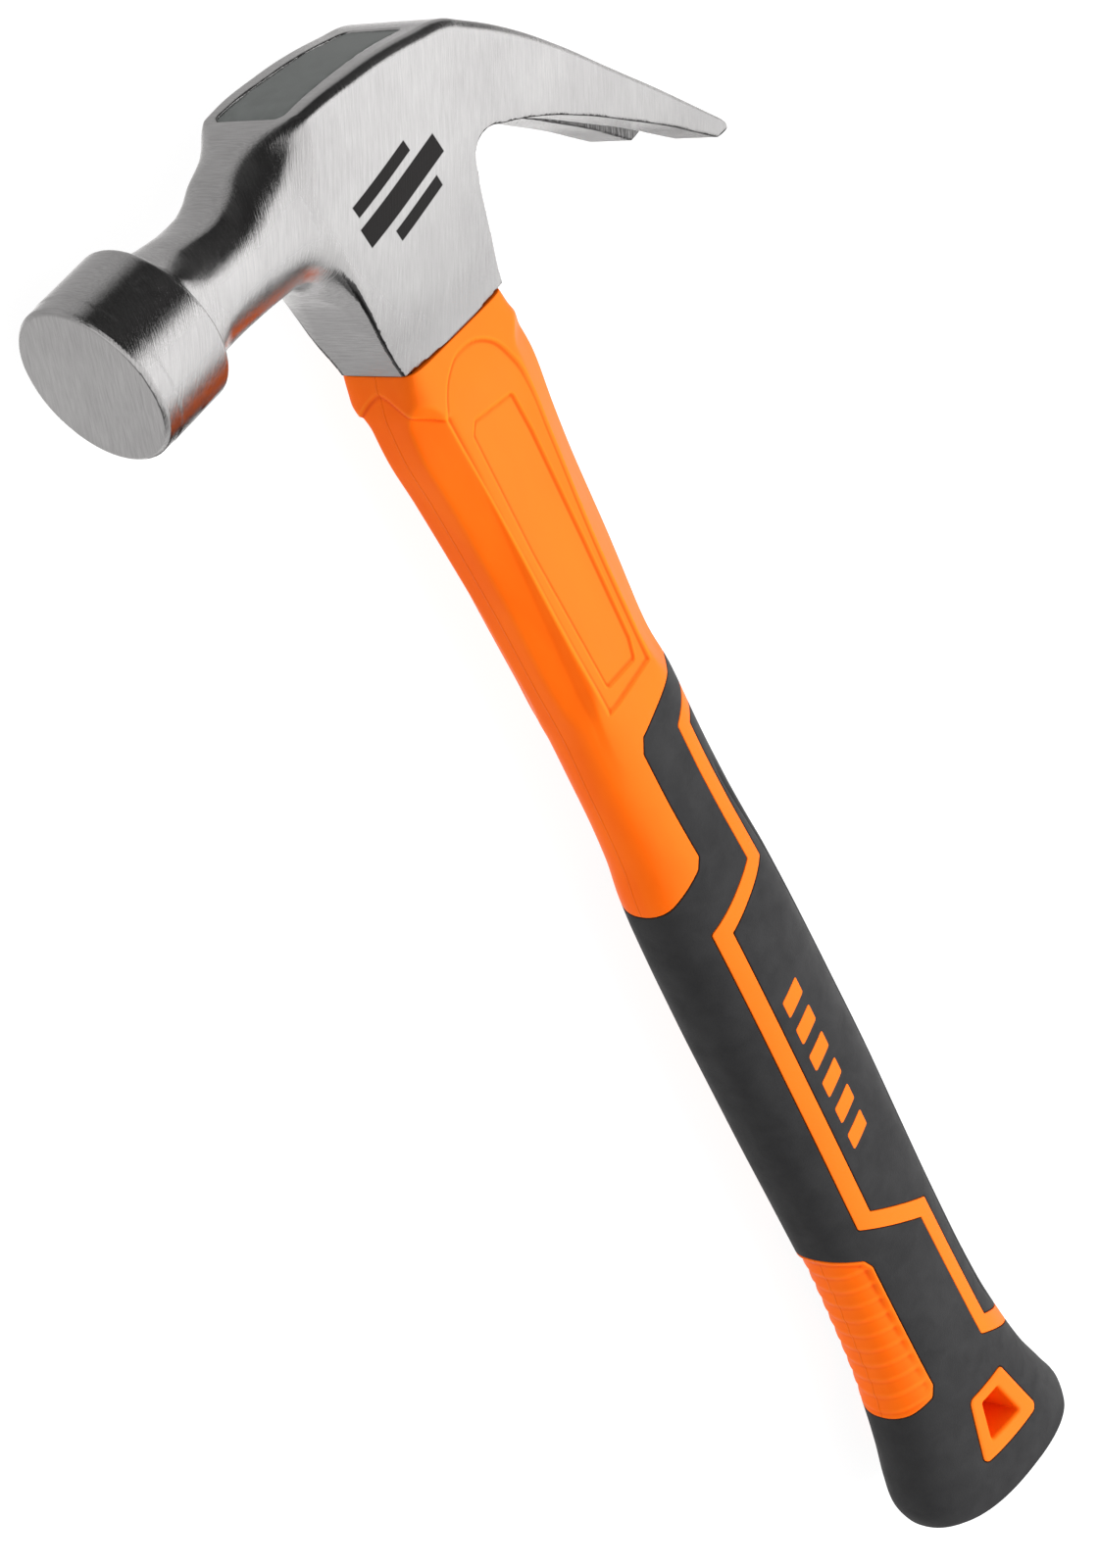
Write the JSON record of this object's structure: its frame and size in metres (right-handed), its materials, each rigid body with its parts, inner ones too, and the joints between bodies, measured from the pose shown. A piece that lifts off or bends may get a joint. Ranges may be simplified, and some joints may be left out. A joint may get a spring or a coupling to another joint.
{
  "type": "claw_hammer",
  "caption": "Curved-claw hammer with a forged, brushed head and a fibreglass-cored handle in orange plastic and charcoal rubber, with a hang hole in the butt",
  "frame": {"origin": "middle of the hammer's bounding box in length and in claw-to-face direction, at the height of the lower side of the claws when the hammer lies flat on its side", "axes": "+X from the striking face towards the claw tips, +Y from the butt towards the top of the head, +Z out of the upper cheek of the head, square to the plane of the hammer"},
  "size_m": [0.1304, 0.3256, 0.0303],
  "materials": {
    "forged_steel": "belt-ground and brushed, bright, unpainted",
    "cured_resin": "cast, dull grey, level just under the crown",
    "glass_fibre": "pultruded, dull",
    "orange_plastic": "injection moulded, satin",
    "charcoal_rubber": "overmoulded, matte, faintly mottled"
  },
  "bodies": {
    "root": {"head": "forged_steel", "eye_resin": "cured_resin", "fibreglass_core": "glass_fibre", "handle_jacket": "orange_plastic", "grip": "charcoal_rubber", "grip_back_panel": "charcoal_rubber"}
  },
  "joints": []
}
